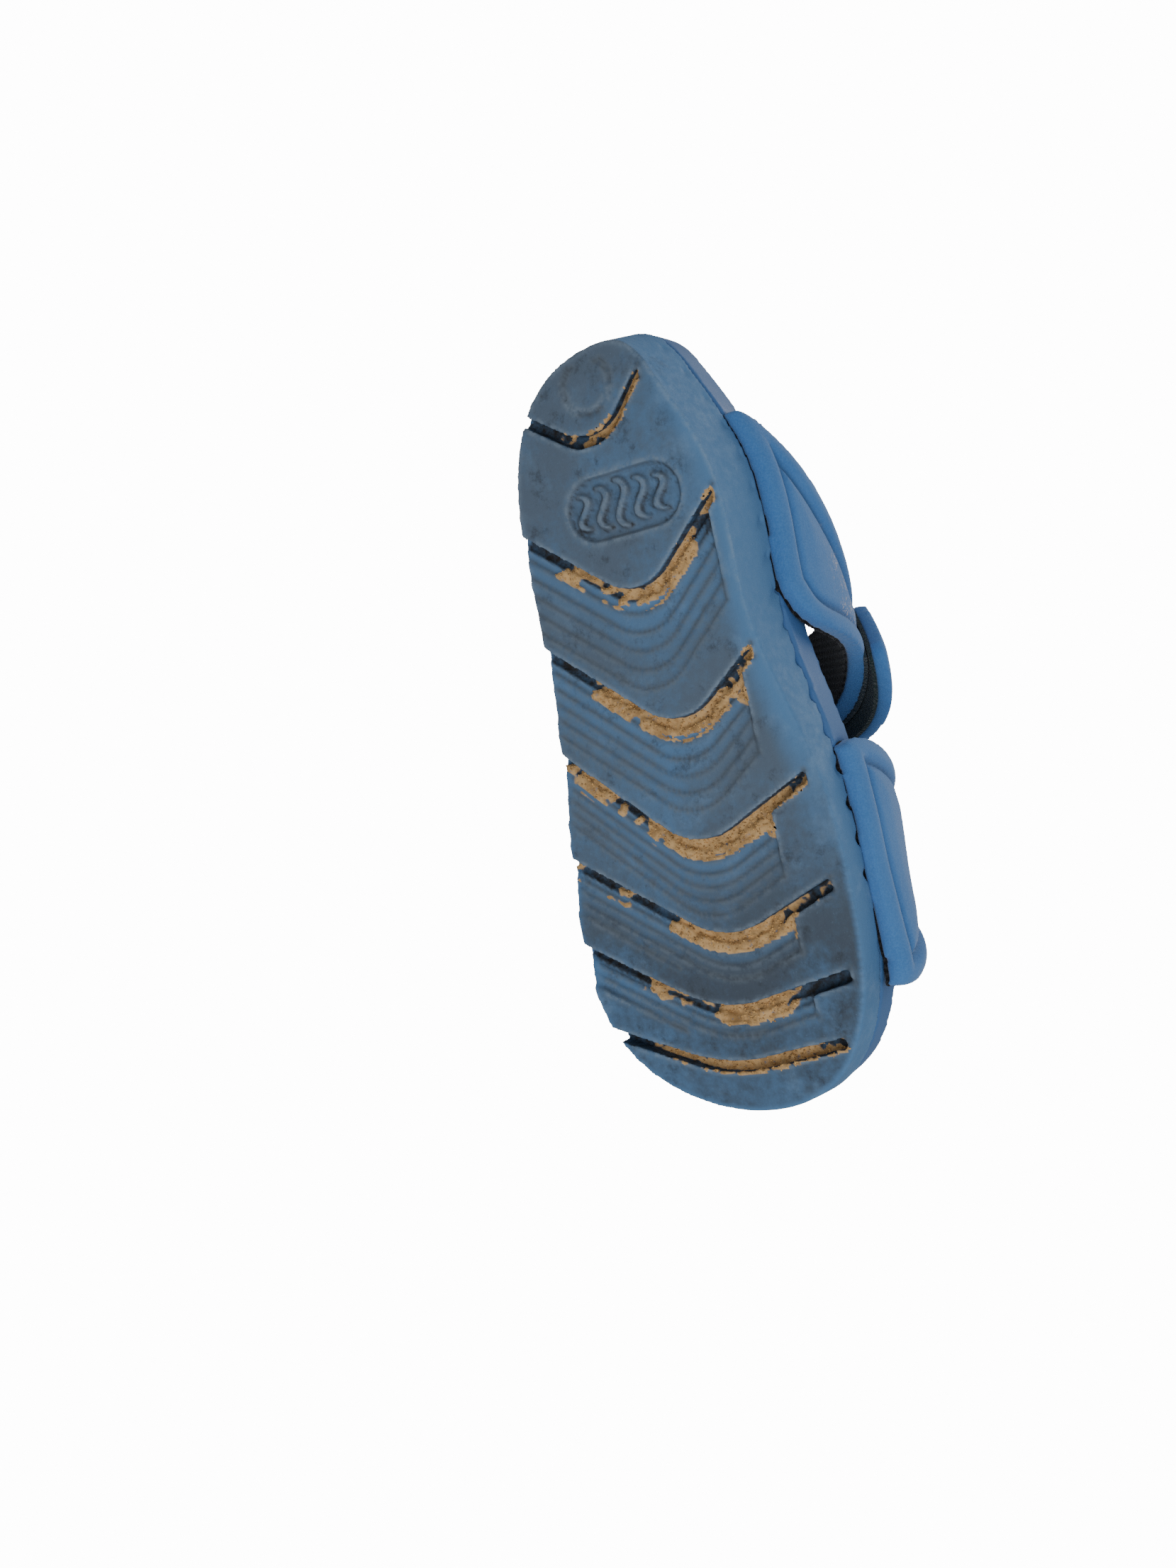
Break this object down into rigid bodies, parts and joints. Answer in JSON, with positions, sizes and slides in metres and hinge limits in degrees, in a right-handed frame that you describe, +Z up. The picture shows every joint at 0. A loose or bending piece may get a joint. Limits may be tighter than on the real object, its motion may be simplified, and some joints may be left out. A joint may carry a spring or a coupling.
{
  "type": "strappy sport sandal",
  "caption": "Child's open-backed swim sandal for the right foot: terraced foam sole, padded forefoot band, swept side wings and a hook-and-loop instep strap that swings open.",
  "frame": {"origin": "on the ground under the centre of the sandal's box", "axes": "+X from heel to toe, +Y to the medial (big toe) side, +Z up"},
  "size_m": [0.2068, 0.0906, 0.0855],
  "materials": {
    "outsole_eva": "worn matte foam",
    "midsole_eva": "smooth satin foam",
    "liner": "fine moulded texture",
    "upper_skin": "matte coated synthetic",
    "padding": "closed-cell foam",
    "lining": "ribbed knit",
    "hook_pile": "hook tape",
    "loop_pile": "brushed loop pile"
  },
  "bodies": {
    "root": {"footbed_liner": "liner", "forefoot_band_foam": "padding", "forefoot_band_lining": "lining", "forefoot_band_skin": "upper_skin", "lateral_quarter_foam": "padding", "lateral_quarter_lining": "lining", "lateral_quarter_skin": "upper_skin", "loop_patch": "loop_pile", "medial_quarter_foam": "padding", "medial_quarter_lining": "lining", "medial_quarter_skin": "upper_skin", "midsole": "midsole_eva", "outsole": "outsole_eva"},
    "strap": {"hook_patch": "hook_pile", "instep_strap_foam": "padding", "instep_strap_lining": "lining", "instep_strap_skin": "upper_skin"}
  },
  "joints": [
    {"name": "instep_strap_open", "type": "hinge", "parent": "root", "child": "strap", "pos_m": [-0.0066, 0.02922, 0.06869], "axis": [-0.9633, 0, 0.2684], "range_deg": [0, 100]}
  ]
}
